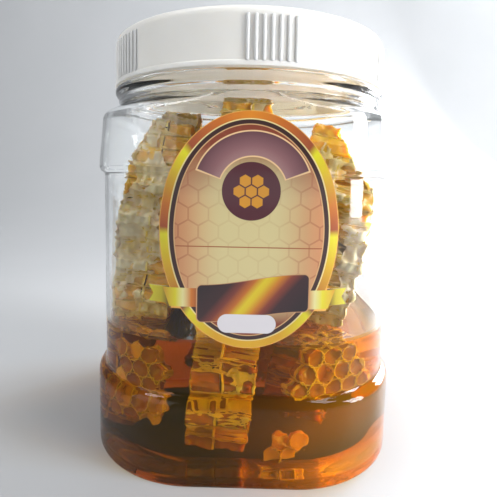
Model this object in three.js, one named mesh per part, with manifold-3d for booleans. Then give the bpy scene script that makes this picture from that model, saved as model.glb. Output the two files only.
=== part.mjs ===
// A shut, clear jar of cut honeycomb: a square blown PET jar with a wide round mouth, a white screw lid,
// a die-cut paper label on the front, and pieces of comb that stand inside it.
// Millimetres, +Z up. The origin is the middle of the foot, on the table, and the label faces -Y.
import * as THREE from "three";
import { mergeVertices } from "three/addons/utils/BufferGeometryUtils.js";
import Module from "manifold-3d";

const wasm = await Module();
wasm.setup();

// Driving sizes of the jar
const WALL = 0.9; // blown wall
const BASE_WALL = 1.8; // floor of the jar
const PANEL_HALF = 44.9; // half the width over the flat sides
const FLAT_HALF = 14.4; // half of each flat, between the round corners
const PANEL_LOW = 25.2;
const PANEL_HIGH = 83.6;
const FOOT_OUT = 2.4; // how far the foot stands out from the side panels
const FOOT_EDGE = 1.6; // width and height of the foot's rounded lower edge
const FOOT_RING = 5.4; // width of the flat ring that the jar stands on
const FOOT_HIGH = 20.6;
const BAND_OUT = 1.5; // the shoulder band's lower edge, out from the side panels
const BAND_TOP_OUT = 0.3;
const BAND_HIGH = 100.2;
const SHOULDER_HIGH = 106.3;
const NECK_RADIUS = 43.6; // where the neck meets the shoulder
const RING_OUT = 0.7; // the small ring at the bottom of the neck
const BEAD_RADIUS = 45.2; // the large ring just below the lid
const FINISH_RADIUS = 42.0; // neck wall under the lid
const FINISH_WALL = 1.3;
const MOUTH_Z = 124.2;
const THREAD_RADIUS = 0.95;
const THREAD_TURNS = 1.15;
const THREAD_PITCH = 4.2;
const THREAD_LOW = 115.6;
const PUSH_UP = 2.4; // how far the middle of the base is raised
const RING_POINTS = 36;

// Driving sizes of the lid
const LID_RADIUS = 44.9;
const LID_RIM_OUT = 0.35;
const LID_RIM_HEIGHT = 1.3;
const LID_LOW = 111.4;
const LID_HIGH = 126.4;
const LID_WALL = 1.4;
const LID_EDGE = 2.1; // radius of the top edge
const LID_BORDER = 4.6; // width of the raised border of the top
const LID_SUNK = 0.4; // how far the top's middle lies below its border
const LID_SIDES = 48;
const RIB_GROUPS = 6;
const RIBS_IN_GROUP = 7;
const RIB_STEP = 2.67; // degrees
const RIB_GROUP_TURN = 7.5; // degrees that the front group lies to the right of the label's middle
const RIB_RADIUS = 0.55;

// Driving sizes of the label
const LABEL_GAP = 0.3;
const LABEL_THICK = 0.3;
const LABEL_HALF_WIDTH = 23.3;
const LABEL_HALF_HEIGHT = 30.7;
const LABEL_X = 0.9;
const LABEL_Z = 69.6;
const TAIL_HALF_WIDTH = 26.2;
const TAIL_Z = 52.8;
const TAIL_HALF_HEIGHT = 2.2;
const TAIL_NOTCH = 1.3;
const RIBBON_HALF_WIDTH = 21.6; // where the ribbon passes in front of its tails
const RIBBON_DROP = 3.6; // from the tails' middle to the ribbon's lower edge
const RIBBON_SLANT = 1.0;
const LABEL_COLUMNS = 7; // lines of the sheet round each corner
const LABEL_STEP = 5; // degrees between them

// Driving sizes of the comb
const CELL = 5.3; // a worker cell, across its flats
const CELL_DIP = 1.7;
const COMB_CLEAR = 0.5; // between the comb and the jar

// Pieces of comb, each with its midrib in the plane x = 0 until it is leaned, turned and put in place.
// A row gives, at a height from the middle, the piece's two ends along the midrib and how far its cells
// stand out from it. inner is how far the cells on the hidden side go.
const COMBS = [
  {
    name: "comb_left",
    middle: [-29.5, -8, 57],
    turn: 180,
    lean: -7,
    inner: 8.5,
    rows: [
      [-51, -17, 12, 7],
      [-20, -20, 14, 10],
      [-17, -20, 23, 10.5],
      [8, -20, 24, 10],
      [30, -19, 22, 8.5],
      [41, -15, 16, 6],
      [47, -8, 9, 3],
    ],
  },
  {
    name: "comb_centre",
    middle: [-3.5, -13, 54],
    turn: 0,
    lean: 5,
    inner: 9,
    rows: [
      [-49, -22, 18, 9.5],
      [-40, -28, 21, 10],
      [0, -28, 22, 10.5],
      [38, -26, 20, 9.5],
      [50, -20, 14, 7],
      [62, -4, 8, 5],
    ],
  },
  {
    name: "comb_right",
    middle: [23.5, -9, 56],
    turn: -8,
    lean: 10,
    inner: 9.5,
    rows: [
      [-48, -8, 19, 9],
      [-20, -8, 20, 10],
      [-16, -23, 21, 11.5],
      [10, -25, 22, 13],
      [26, -24, 20, 13],
      [34, -20, 15, 5],
      [42, -15, 10, 0],
    ],
  },
  {
    name: "comb_back",
    middle: [0, 27.5, 56],
    turn: 90,
    lean: 1,
    inner: 8,
    rows: [
      [-47, -21, 20, 9],
      [0, -24, 24, 10.5],
      [30, -23, 23, 10],
      [43, -18, 18, 8],
      [49, -8, 8, 6],
    ],
  },
  {
    name: "comb_low_left",
    middle: [-28.5, -31, 24],
    turn: -122,
    lean: 0,
    inner: 2.5,
    rows: [
      [-13, -6, 8, 3.5],
      [0, -8, 10, 4],
      [12, -7, 8, 3],
    ],
  },
  {
    name: "comb_low_right",
    middle: [23, -32.8, 25],
    turn: -60,
    lean: 0,
    inner: 2.5,
    rows: [
      [-9, -5, 9, 3],
      [0, -11, 12, 4.5],
      [13, -12, 11, 3.5],
    ],
  },
  {
    name: "comb_bit_low",
    middle: [11, -34.5, 9.5],
    turn: -84,
    lean: -8,
    inner: 2,
    rows: [
      [-5.5, -6, 8, 2.5],
      [4, -3, 6, 2.5],
    ],
  },
];

const radians = THREE.MathUtils.degToRad;

// A closed solid from any geometry, with its shared vertices merged and its folded faces dropped
function solidFrom(geometry) {
  const bare = new THREE.BufferGeometry();
  bare.setAttribute("position", geometry.getAttribute("position").clone());
  if (geometry.index) bare.setIndex(geometry.index.clone());
  const merged = mergeVertices(bare, 1e-4);
  const index = merged.index.array;
  const kept = [];
  for (let i = 0; i < index.length; i += 3) {
    const [a, b, c] = index.slice(i, i + 3);
    if (a !== b && b !== c && c !== a) kept.push(a, b, c);
  }
  const vertProperties = merged.getAttribute("position").array;
  return new wasm.Manifold(new wasm.Mesh({ numProp: 3, vertProperties, triVerts: new Uint32Array(kept) }));
}

// A closed solid from triangles, each a list of three points
function solidOf(triangles) {
  return solidFrom(new THREE.BufferGeometry().setFromPoints(triangles.flat()));
}

function named(name, solid, material) {
  const { vertProperties, triVerts } = solid.getMesh();
  const shared = new THREE.BufferGeometry();
  shared.setAttribute("position", new THREE.BufferAttribute(vertProperties, 3));
  shared.setIndex(new THREE.BufferAttribute(triVerts, 1));
  const geometry = shared.toNonIndexed();
  geometry.computeVertexNormals();
  const mesh = new THREE.Mesh(geometry, material);
  mesh.name = name;
  return mesh;
}

// Points of a square with round corners, anticlockwise from above
function roundedSquare({ half, corner, z }) {
  const perCorner = RING_POINTS / 4;
  const middle = half - corner;
  return Array.from({ length: RING_POINTS }, (_, i) => {
    const quarter = Math.floor(i / perCorner);
    const angle = (quarter + ((i % perCorner) + 0.5) / perCorner) * (Math.PI / 2);
    const signX = quarter === 0 || quarter === 3 ? 1 : -1;
    const signY = quarter < 2 ? 1 : -1;
    const x = signX * middle + corner * Math.cos(angle);
    const y = signY * middle + corner * Math.sin(angle);
    return new THREE.Vector3(x, y, z);
  });
}

// A solid with its skin through a stack of rounded squares, which starts and ends on the axis
function loft(profile) {
  const rings = profile.map(roundedSquare);
  const start = new THREE.Vector3(0, 0, profile[0].z);
  const end = new THREE.Vector3(0, 0, profile.at(-1).z);
  const triangles = [];
  for (let i = 0; i < RING_POINTS; i++) {
    const next = (i + 1) % RING_POINTS;
    triangles.push([start, rings[0][next], rings[0][i]]);
    for (let k = 1; k < rings.length; k++) {
      const [low, high] = [rings[k - 1], rings[k]];
      triangles.push([low[i], low[next], high[next]], [low[i], high[next], high[i]]);
    }
    triangles.push([rings.at(-1)[i], rings.at(-1)[next], end]);
  }
  return solidOf(triangles);
}

// A round section of the neck, and a section of the body. The body's keep the flats, so that their
// corners grow with the width, and roundness from 0 to 1 turns them into the neck's.
const round = (half, z) => ({ half, corner: half, z });
const body = (half, z, roundness = 0) => ({ half, corner: half - FLAT_HALF * (1 - roundness), z });

// The jar's outside, from the edge of its foot up to the neck
function outsideProfile() {
  const foot = PANEL_HALF + FOOT_OUT;
  const band = PANEL_HALF + BAND_OUT;
  const edge = [0, 0.4, 0.72, 0.92].map((share) => {
    const rise = 1 - Math.sqrt(1 - share ** 2);
    return body(foot - FOOT_EDGE * (1 - share), FOOT_EDGE * rise);
  });
  return [
    ...edge,
    body(foot, FOOT_EDGE + 1),
    body(foot, FOOT_HIGH),
    body(foot - 0.45, FOOT_HIGH + 1.9),
    body(foot - 1.5, PANEL_LOW - 1),
    body(PANEL_HALF, PANEL_LOW),
    body(PANEL_HALF, PANEL_HIGH),
    body(PANEL_HALF + 0.6, PANEL_HIGH + 0.6),
    body(band - 0.25, PANEL_HIGH + 1.5),
    body(band, PANEL_HIGH + 2.8),
    body(band - 0.1, PANEL_HIGH + 4.4),
    body(PANEL_HALF + BAND_TOP_OUT, BAND_HIGH),
    body(PANEL_HALF, BAND_HIGH + 1.3),
    body(PANEL_HALF - 0.6, BAND_HIGH + 3, 0.3),
    body(NECK_RADIUS + 0.2, SHOULDER_HIGH - 1.3, 0.7),
    round(NECK_RADIUS, SHOULDER_HIGH),
  ];
}

function neckProfile() {
  return [
    round(NECK_RADIUS + RING_OUT, SHOULDER_HIGH + 0.7),
    round(NECK_RADIUS + RING_OUT, SHOULDER_HIGH + 1.3),
    round(NECK_RADIUS, SHOULDER_HIGH + 2),
    round(BEAD_RADIUS - 0.5, SHOULDER_HIGH + 2.6),
    round(BEAD_RADIUS, SHOULDER_HIGH + 3.4),
    round(BEAD_RADIUS - 0.3, SHOULDER_HIGH + 4.4),
    round(FINISH_RADIUS, SHOULDER_HIGH + 4.8),
    round(FINISH_RADIUS, MOUTH_Z - 0.5),
    round(FINISH_RADIUS - 0.4, MOUTH_Z),
  ];
}

// A room inside the jar, clear of its outside by an inset and of its inside by what that leaves
function roomProfile(inset) {
  const floor = BASE_WALL + inset - WALL;
  const foot = PANEL_HALF + FOOT_OUT - inset;
  const walls = outsideProfile()
    .filter(({ z }) => z >= FOOT_HIGH)
    .map(({ half, corner, z }) => ({ half: half - inset, corner: corner - inset, z }));
  const mouth = FINISH_RADIUS - FINISH_WALL - inset + WALL;
  return [
    body(20, floor + PUSH_UP),
    body(33, floor + PUSH_UP - 0.5),
    body(PANEL_HALF - 6, floor),
    body(foot - 1.3, floor + 0.5),
    body(foot, floor + 2),
    ...walls,
    round(mouth, SHOULDER_HIGH + 1),
    round(mouth, MOUTH_Z),
  ];
}

function threadRidge() {
  class Helix extends THREE.Curve {
    getPoint(t) {
      const turns = t * THREAD_TURNS;
      const angle = turns * 2 * Math.PI;
      const height = THREAD_LOW + turns * THREAD_PITCH;
      return new THREE.Vector3(FINISH_RADIUS * Math.cos(angle), FINISH_RADIUS * Math.sin(angle), height);
    }
  }
  const section = new THREE.Shape();
  section.absarc(0, 0, THREAD_RADIUS, 0, 2 * Math.PI);
  const settings = { steps: 34, curveSegments: 6, extrudePath: new Helix() };
  return solidFrom(new THREE.ExtrudeGeometry(section, settings));
}

function jarSolid() {
  const ring = PANEL_HALF + FOOT_OUT - FOOT_EDGE - FOOT_RING;
  const under = [body(18, PUSH_UP), body(34, PUSH_UP - 0.5), body(ring - 1.5, 0.5), body(ring, 0)];
  const inside = roomProfile(WALL).reverse();
  return loft([...under, ...outsideProfile(), ...neckProfile(), ...inside]).add(threadRidge());
}

function lidSolid() {
  const inner = LID_RADIUS - LID_WALL;
  const rim = LID_RADIUS + LID_RIM_OUT;
  const underside = LID_HIGH - LID_WALL;
  const profile = [
    [0, underside],
    [inner - 0.6, underside],
    [inner, underside - 0.6],
    [inner, LID_LOW],
    [rim - 0.2, LID_LOW],
    [rim, LID_LOW + 0.25],
    [rim, LID_LOW + LID_RIM_HEIGHT - 0.2],
    [LID_RADIUS, LID_LOW + LID_RIM_HEIGHT],
  ];
  const edgeSteps = 4;
  for (let step = 0; step <= edgeSteps; step++) {
    const angle = (step / edgeSteps) * (Math.PI / 2);
    const x = LID_RADIUS - LID_EDGE * (1 - Math.cos(angle));
    profile.push([x, LID_HIGH - LID_EDGE * (1 - Math.sin(angle))]);
  }
  const border = LID_RADIUS - LID_BORDER;
  profile.push([border, LID_HIGH], [border - 0.6, LID_HIGH - LID_SUNK], [0, LID_HIGH - LID_SUNK]);
  const points = profile.map(([x, y]) => new THREE.Vector2(x, y));
  const shell = solidFrom(new THREE.LatheGeometry(points, LID_SIDES).rotateX(Math.PI / 2));

  const ribLow = LID_LOW + LID_RIM_HEIGHT - 0.3;
  const ribHigh = LID_HIGH - LID_EDGE - 0.4;
  const rib = new THREE.CylinderGeometry(RIB_RADIUS, RIB_RADIUS, ribHigh - ribLow, 5)
    .rotateX(Math.PI / 2)
    .translate(0, -LID_RADIUS, (ribLow + ribHigh) / 2);
  const ribs = [];
  for (let group = 0; group < RIB_GROUPS; group++) {
    for (let i = 0; i < RIBS_IN_GROUP; i++) {
      const fromMiddle = (i - (RIBS_IN_GROUP - 1) / 2) * RIB_STEP;
      const angle = RIB_GROUP_TURN + (group * 360) / RIB_GROUPS + fromMiddle;
      ribs.push(solidFrom(rib.clone().rotateZ(radians(angle))));
    }
  }
  return wasm.Manifold.union([shell, ...ribs]);
}

// A sheet of paper wrapped round the front of the jar, from one round corner to the other. It bridges
// the step under the shoulder band.
function wrappedSheet(thick) {
  const backs = [
    [LABEL_Z - LABEL_HALF_HEIGHT - 1, PANEL_HALF],
    [PANEL_HIGH - 7.6, PANEL_HALF],
    [PANEL_HIGH + 2.6, PANEL_HALF + BAND_OUT],
    [PANEL_HIGH + 4.6, PANEL_HALF + BAND_OUT - 0.05],
    [LABEL_Z + LABEL_HALF_HEIGHT + 1, PANEL_HALF + BAND_TOP_OUT],
  ];
  const place = (column, [z, back], depth) => {
    const radius = back + LABEL_GAP + depth - FLAT_HALF;
    const angle = radians((Math.abs(column) - 1) * LABEL_STEP);
    const x = FLAT_HALF + radius * Math.sin(angle);
    return new THREE.Vector3(Math.sign(column) * x, -FLAT_HALF - radius * Math.cos(angle), z);
  };
  const columns = Array.from({ length: LABEL_COLUMNS }, (_, i) => i + 1);
  const across = [...columns.map((column) => -column).reverse(), ...columns];
  const front = across.map((column) => backs.map((row) => place(column, row, thick)));
  const behind = across.map((column) => backs.map((row) => place(column, row, 0)));
  const triangles = [];
  const quad = (a, b, c, d) => triangles.push([a, b, c], [a, c, d]);
  const top = backs.length - 1;
  const end = across.length - 1;
  for (let i = 0; i < end; i++) {
    for (let j = 0; j < top; j++) {
      quad(front[i][j], front[i + 1][j], front[i + 1][j + 1], front[i][j + 1]);
      quad(behind[i][j], behind[i][j + 1], behind[i + 1][j + 1], behind[i + 1][j]);
    }
    quad(behind[i][0], behind[i + 1][0], front[i + 1][0], front[i][0]);
    quad(front[i][top], front[i + 1][top], behind[i + 1][top], behind[i][top]);
  }
  for (let j = 0; j < top; j++) {
    quad(behind[0][j], front[0][j], front[0][j + 1], behind[0][j + 1]);
    quad(front[end][j], behind[end][j], behind[end][j + 1], front[end][j + 1]);
  }
  return solidOf(triangles);
}

// The label is cut from the sheet as an oval with a ribbon across it, whose forked tails pass its sides
function labelSolid() {
  const deep = 3 * FLAT_HALF;
  const oval = new THREE.CylinderGeometry(1, 1, deep, 40)
    .scale(LABEL_HALF_WIDTH, 1, LABEL_HALF_HEIGHT)
    .translate(LABEL_X, -PANEL_HALF, LABEL_Z);
  const rightHalf = [
    [RIBBON_HALF_WIDTH - RIBBON_SLANT, -RIBBON_DROP],
    [RIBBON_HALF_WIDTH, -TAIL_HALF_HEIGHT],
    [TAIL_HALF_WIDTH, -TAIL_HALF_HEIGHT],
    [TAIL_HALF_WIDTH - TAIL_NOTCH, 0],
    [TAIL_HALF_WIDTH, TAIL_HALF_HEIGHT],
  ];
  const leftHalf = rightHalf.map(([x, z]) => [-x, z]).reverse();
  const outline = [...rightHalf, ...leftHalf].map(([x, z]) => new THREE.Vector2(x, z));
  const tails = new THREE.ExtrudeGeometry(new THREE.Shape(outline), { depth: deep, bevelEnabled: false })
    .rotateX(Math.PI / 2)
    .translate(LABEL_X, -PANEL_HALF + deep / 2, TAIL_Z);
  return wrappedSheet(LABEL_THICK).intersect(solidFrom(oval).add(solidFrom(tails)));
}

// A number from 0 to 1 that is always the same for the same cell
function chance(column, row) {
  const wave = Math.sin(column * 127.1 + row * 311.7) * 43758.5453;
  return wave - Math.floor(wave);
}

// A piece's ends and reach at a height, in between the rows given and the same beyond them
function rowAt(rows, height) {
  const held = THREE.MathUtils.clamp(height, rows[0][0], rows.at(-1)[0]);
  const next = Math.max(1, rows.findIndex(([top]) => top >= held));
  const [low, high] = [rows[next - 1], rows[next]];
  const share = (held - low[0]) / (high[0] - low[0]);
  return low.map((value, i) => THREE.MathUtils.lerp(value, high[i], share));
}

// The middles of the six-sided cells that lie within a piece's rows, with ragged ends
function cellsOf(rows) {
  const rowStep = CELL * Math.sqrt(0.75);
  const cells = [];
  for (let row = Math.ceil(rows[0][0] / rowStep); row * rowStep < rows.at(-1)[0]; row++) {
    const [, low, high] = rowAt(rows, row * rowStep);
    const offset = row % 2 === 0 ? 0 : 0.5;
    for (let column = Math.floor(low / CELL); column <= high / CELL; column++) {
      const along = (column + offset) * CELL;
      const ragged = (chance(column, row) - 0.5) * 0.7 * CELL;
      if (along - ragged > low && along + ragged < high) cells.push([along, row * rowStep]);
    }
  }
  return cells;
}

// One piece: open cells as dips on its outer face, cell walls round its edge, and a plain inner face
function combSolid({ inner, rows }) {
  const side = CELL / Math.sqrt(3);
  const reach = (height) => rowAt(rows, height)[3];
  const corners = new Map();
  const rim = new Map(); // from each corner of the outline to the next one
  const triangles = [];
  for (const [along, height] of cellsOf(rows)) {
    const dip = new THREE.Vector3(reach(height) - CELL_DIP, along, height);
    const ring = Array.from({ length: 6 }, (_, k) => {
      const angle = Math.PI / 6 + (k * Math.PI) / 3;
      const y = along + side * Math.cos(angle);
      const z = height + side * Math.sin(angle);
      const key = `${Math.round(y * 100)} ${Math.round(z * 100)}`;
      if (!corners.has(key)) corners.set(key, new THREE.Vector3(reach(z), y, z));
      return key;
    });
    ring.forEach((key, k) => {
      const next = ring[(k + 1) % 6];
      triangles.push([corners.get(key), corners.get(next), dip]);
      const inside = rim.get(next)?.delete(key);
      if (!inside) rim.set(key, (rim.get(key) ?? new Set()).add(next));
    });
  }

  const first = [...rim.keys()].find((key) => rim.get(key).size > 0);
  const outer = [];
  let key = first;
  do {
    outer.push(corners.get(key));
    [key] = rim.get(key);
  } while (key !== first);

  const hidden = outer.map(({ y, z }) => new THREE.Vector3(-inner, y, z));
  outer.forEach((corner, i) => {
    const next = (i + 1) % outer.length;
    triangles.push([corner, hidden[i], hidden[next]], [corner, hidden[next], outer[next]]);
  });
  const outline = outer.map(({ y, z }) => new THREE.Vector2(y, z));
  for (const [a, b, c] of THREE.ShapeUtils.triangulateShape(outline, [])) {
    triangles.push([hidden[c], hidden[b], hidden[a]]);
  }
  return solidOf(triangles);
}

// A piece in its place, without what would go through the jar
function placedComb(piece, room) {
  const place = new THREE.Matrix4()
    .makeTranslation(...piece.middle)
    .multiply(new THREE.Matrix4().makeRotationZ(radians(piece.turn)))
    .multiply(new THREE.Matrix4().makeRotationY(radians(piece.lean)));
  const scraps = combSolid(piece).transform(place.elements).intersect(room).decompose();
  return scraps.sort((a, b) => b.volume() - a.volume())[0];
}

const clearPlastic = new THREE.MeshStandardMaterial({
  color: 0xe9eeef,
  roughness: 0.05,
  metalness: 0,
  transparent: true,
  opacity: 0.3,
});
const whitePlastic = new THREE.MeshStandardMaterial({ color: 0xe8e7e3, roughness: 0.35, metalness: 0 });
const printedPaper = new THREE.MeshStandardMaterial({ color: 0xc99a3c, roughness: 0.3, metalness: 0 });
const wax = new THREE.MeshStandardMaterial({ color: 0xe3bf72, roughness: 0.4, metalness: 0 });

const room = loft(roomProfile(WALL + COMB_CLEAR));
const jar = new THREE.Group();
jar.add(named("jar", jarSolid(), clearPlastic));
jar.add(named("lid", lidSolid(), whitePlastic));
jar.add(named("label", labelSolid(), printedPaper));
for (const piece of COMBS) jar.add(named(piece.name, placedComb(piece, room), wax));

export default jar;
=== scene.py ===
import random
from functools import partial
from math import asin, ceil, cos, floor, hypot, pi, radians, sin, sqrt

import bmesh
import bpy
from mathutils import Matrix, Quaternion, Vector, noise


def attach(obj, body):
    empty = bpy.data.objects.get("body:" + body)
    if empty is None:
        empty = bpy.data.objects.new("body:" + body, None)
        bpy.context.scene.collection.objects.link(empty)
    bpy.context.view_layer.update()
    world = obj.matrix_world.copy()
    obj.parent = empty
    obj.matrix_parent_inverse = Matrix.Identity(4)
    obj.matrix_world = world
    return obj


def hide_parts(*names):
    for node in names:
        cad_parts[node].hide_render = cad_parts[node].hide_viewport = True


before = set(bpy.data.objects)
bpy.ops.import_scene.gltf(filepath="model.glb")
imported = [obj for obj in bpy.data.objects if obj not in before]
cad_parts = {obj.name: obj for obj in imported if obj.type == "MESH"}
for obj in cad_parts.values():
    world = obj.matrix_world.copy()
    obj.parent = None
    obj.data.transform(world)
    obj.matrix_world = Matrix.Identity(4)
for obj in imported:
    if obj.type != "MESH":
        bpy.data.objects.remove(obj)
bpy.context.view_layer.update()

# Camera
# A close view with a wide lens, a little above the jar's middle, so that the lid shows its ellipse and
# the honey's surface is seen from above. The picture is 497 pixels wide.
MM = 0.001
PICTURE = 497
FOCAL_PX = 413.1
CENTRE_PX = (240.8, 213.3)
EYE = Vector((0, -150.4, 84.4)) * MM
YAW, PITCH, ROLL = -0.0119, -0.0941, 0.0197

camera = bpy.data.objects.new("camera", bpy.data.cameras.new("camera"))
bpy.context.scene.collection.objects.link(camera)
bpy.context.scene.camera = camera
camera.data.lens = camera.data.sensor_width * FOCAL_PX / PICTURE
camera.data.shift_x = 0.5 - CENTRE_PX[0] / PICTURE
camera.data.shift_y = CENTRE_PX[1] / PICTURE - 0.5
forward = Vector((sin(YAW) * cos(PITCH), cos(YAW) * cos(PITCH), sin(PITCH)))
camera.rotation_mode = "QUATERNION"
camera.rotation_quaternion = forward.to_track_quat("-Z", "Y") @ Quaternion((0, 0, 1), ROLL)
camera.location = EYE
camera.data.clip_start = 5 * MM

# Jar
# A blown PET jar: square with wide round corners, a foot and a shoulder band that stand out from the
# side panels, and a round neck with a thread. It is one thin clear wall with a raised base.
WALL = 0.9  # all sizes are in millimetres
PANEL = 44.9  # half widths, from the jar's middle
FLAT = 14.4
FOOT = PANEL + 2.27
BAND = PANEL + 1.5
NECK = 43.6
BEAD = 45.2
FINISH = 42.0
MOUTH = 124.2
SHOULDER = (100.8, 106.3)  # heights between which the square turns round
PUSH_UP = 2.4
THREAD_LOW = 115.6
THREAD_PITCH = 4.2
THREAD_TURNS = 1.15
HONEY_LEVEL = 39.5
RING_POINTS = 128


def rounded(points, steps=6):
    """Half widths and heights along a profile of (half width, height, corner radius). A point just
    beside each corner keeps the flats flat in their shading."""
    path = []
    for i, (x, z, radius) in enumerate(points):
        here = Vector((x, z))
        if radius == 0 or i in (0, len(points) - 1):
            path.append(here)
            continue
        before = Vector(points[i - 1][:2]) - here
        after = Vector(points[i + 1][:2]) - here
        cut = min(radius, before.length * 0.49, after.length * 0.49)
        start, end = here + before.normalized() * cut, here + after.normalized() * cut
        if before.length * 0.49 > cut + 0.2:
            path.append(start + before.normalized() * 0.2)
        for step in range(steps + 1):
            t = step / steps
            path.append(start * (1 - t) ** 2 + here * 2 * t * (1 - t) + end * t**2)
        if after.length * 0.49 > cut + 0.2:
            path.append(end + after.normalized() * 0.2)
    return path


def ring_at(bm, half, z):
    """A ring of edges round the jar: square with round corners, turning round at the shoulder."""
    low, high = SHOULDER
    share = min(max((z - low) / (high - low), 0), 1)
    corner = half - FLAT * (1 - share * share * (3 - 2 * share))
    start = Matrix.Rotation(pi / RING_POINTS, 4, "Z")
    verts = bmesh.ops.create_circle(bm, segments=RING_POINTS, radius=corner, matrix=start)["verts"]
    for vert in verts:
        vert.co.x += (half - corner) * (1 if vert.co.x > 0 else -1)
        vert.co.y += (half - corner) * (1 if vert.co.y > 0 else -1)
        vert.co.z = z
    return list(dict.fromkeys(edge for vert in verts for edge in vert.link_edges))


def jar_skin(profile):
    """A closed skin through rings at a profile's points, flat at both ends."""
    bm = bmesh.new()
    rings = [ring_at(bm, half, z) for half, z in profile]
    for low, high in zip(rings, rings[1:]):
        bmesh.ops.bridge_loops(bm, edges=low + high)
    for end in (rings[0], rings[-1]):
        bmesh.ops.contextual_create(bm, geom=end)
    return bm


def plain_object(bm, name):
    """A mesh as an object with no finish, for a modifier to work on."""
    mesh = bpy.data.meshes.new(name)
    bm.to_mesh(mesh)
    bm.free()
    made = bpy.data.objects.new(name, mesh)
    bpy.context.scene.collection.objects.link(made)
    return made


def after_modifiers(made):
    """The mesh as its modifiers leave it. The object is removed."""
    mesh = bpy.data.meshes.new_from_object(made.evaluated_get(bpy.context.evaluated_depsgraph_get()))
    bm = bmesh.new()
    bm.from_mesh(mesh)
    bpy.data.objects.remove(made)
    return bm


def combined(bm, other, operation):
    """Two closed meshes made one by a Boolean operation."""
    made = plain_object(bm, "uncut")
    cut = made.modifiers.new("cut", "BOOLEAN")
    cut.operation = operation
    cut.solver = "MANIFOLD"
    cut.object = other
    return after_modifiers(made)


def piece_from(bm, name, materials, replaced=(), smooth_under=40):
    """A finished piece from a mesh in millimetres. Edges bent by more than smooth_under stay sharp."""
    bmesh.ops.transform(bm, matrix=Matrix.Scale(MM, 4), verts=bm.verts)
    bmesh.ops.recalc_face_normals(bm, faces=bm.faces)
    mesh = bpy.data.meshes.new(name)
    bm.to_mesh(mesh)
    bm.free()
    mesh.shade_smooth()
    mesh.set_sharp_from_angle(angle=radians(smooth_under))
    for material in materials:
        mesh.materials.append(material)
    piece = bpy.data.objects.new(name, mesh)
    bpy.context.scene.collection.objects.link(piece)
    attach(piece, "root")
    if replaced:
        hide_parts(*replaced)
    return piece


def half_width(point):
    """How far out from the jar's middle a point lies, along the square with round corners."""
    return FLAT + hypot(max(abs(point.x) - FLAT, 0), max(abs(point.y) - FLAT, 0))


def linear(hex_colour):
    """A colour for a shader from its sRGB hex value."""
    parts = [int(hex_colour[i : i + 2], 16) / 255 for i in (1, 3, 5)]
    return [c / 12.92 if c < 0.04045 else ((c + 0.055) / 1.055) ** 2.4 for c in parts] + [1]


def new_material(name):
    """An empty material and its output node."""
    material = bpy.data.materials.new(name)
    material.use_nodes = True
    material.node_tree.nodes.clear()
    return material, material.node_tree.nodes.new("ShaderNodeOutputMaterial")


def node(material, kind, inputs=None, stops=(), **settings):
    """Adds a node and returns its first live output. inputs has a value or a link for each socket, by
    name or number, and stops has the places and colours of a colour ramp."""
    added = material.node_tree.nodes.new(f"ShaderNode{kind}")
    for key, value in settings.items():
        setattr(added, key, value)
    for key, value in (inputs or {}).items():
        live = [socket for socket in added.inputs if socket.enabled and socket.name == key]
        socket = live[0] if live else added.inputs[key]
        if isinstance(value, bpy.types.NodeSocket):
            material.node_tree.links.new(value, socket)
        else:
            socket.default_value = value
    for i, (place, colour) in enumerate(stops):
        ramp = added.color_ramp.elements
        stop = ramp[i] if i < 2 else ramp.new(place)
        stop.position = place
        stop.color = linear(colour)
    return next(socket for socket in added.outputs if socket.enabled)


def lets_lamps_through(material, output, shader, tint):
    """Ends a clear material so that lamps light what is inside it."""
    path = node(material, "LightPath").node
    rays = {0: path.outputs["Is Shadow Ray"], 1: path.outputs["Is Diffuse Ray"]}
    skipped = node(material, "Math", rays, operation="MAXIMUM")
    passing = node(material, "BsdfTransparent", {"Color": tint})
    mixed = node(material, "MixShader", {0: skipped, 1: shader, 2: passing})
    material.node_tree.links.new(mixed, output.inputs["Surface"])


outside = rounded(
    [
        (FOOT - 3, 0, 0),
        (FOOT, 0, 1.6),
        (FOOT, 3.2, 0),
        (FOOT, 3.4, 0),
        (FOOT - 0.12, 3.7, 0),
        (FOOT, 4.0, 0),
        (FOOT, 4.2, 0),
        (FOOT, 23.6, 3.0),
        (PANEL, 25.3, 0.9),
        (PANEL, 84.0, 0.5),
        (BAND, 85.0, 1.5),
        (BAND, 87.6, 1.2),
        (PANEL + 0.3, 100.6, 1.0),
        (PANEL - 0.6, 103.4, 1.6),
        (NECK, 106.0, 0.7),
        (NECK + 0.75, 107.0, 0.5),
        (NECK, 108.2, 0.4),
        (BEAD, 109.2, 0.8),
        (BEAD, 110.9, 0.7),
        (FINISH, 111.2, 0.4),
        (FINISH, MOUTH, 0.5),
    ]
)
INSIDE_BASE = [(20, 3.5, 0), (34, 3.1, 4), (39, 1.1, 3), (FOOT - WALL, 1.3, 2)]
INSIDE_WALLS = [
    (FOOT, 23.3, 3.0),
    (PANEL, 25.0, 0.9),
    (PANEL, HONEY_LEVEL, 0),
    (PANEL, 84.3, 0.5),
    (BAND, 85.3, 1.5),
    (BAND, 87.6, 1.2),
    (PANEL + 0.3, 100.3, 1.0),
    (PANEL - 0.6, 103.0, 1.6),
]


def inside_up_to(top, inset):
    """The jar's inner profile, moved out or in by less or more than the wall."""
    walls = [(half - inset, z, radius) for half, z, radius in INSIDE_WALLS if z <= top]
    base = [(half + WALL - inset, z + inset - WALL, radius) for half, z, radius in INSIDE_BASE]
    return base + walls


inner_neck = [(FINISH - 1.3, 106.5, 0.8), (FINISH - 1.3, MOUTH, 0.3)]
inside = rounded(inside_up_to(MOUTH, WALL) + inner_neck)
under = rounded([(18, PUSH_UP, 0), (34, PUSH_UP, 4), (38.6, 0.4, 2), (40.4, 0, 0.8), (43, 0, 0)])

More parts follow.
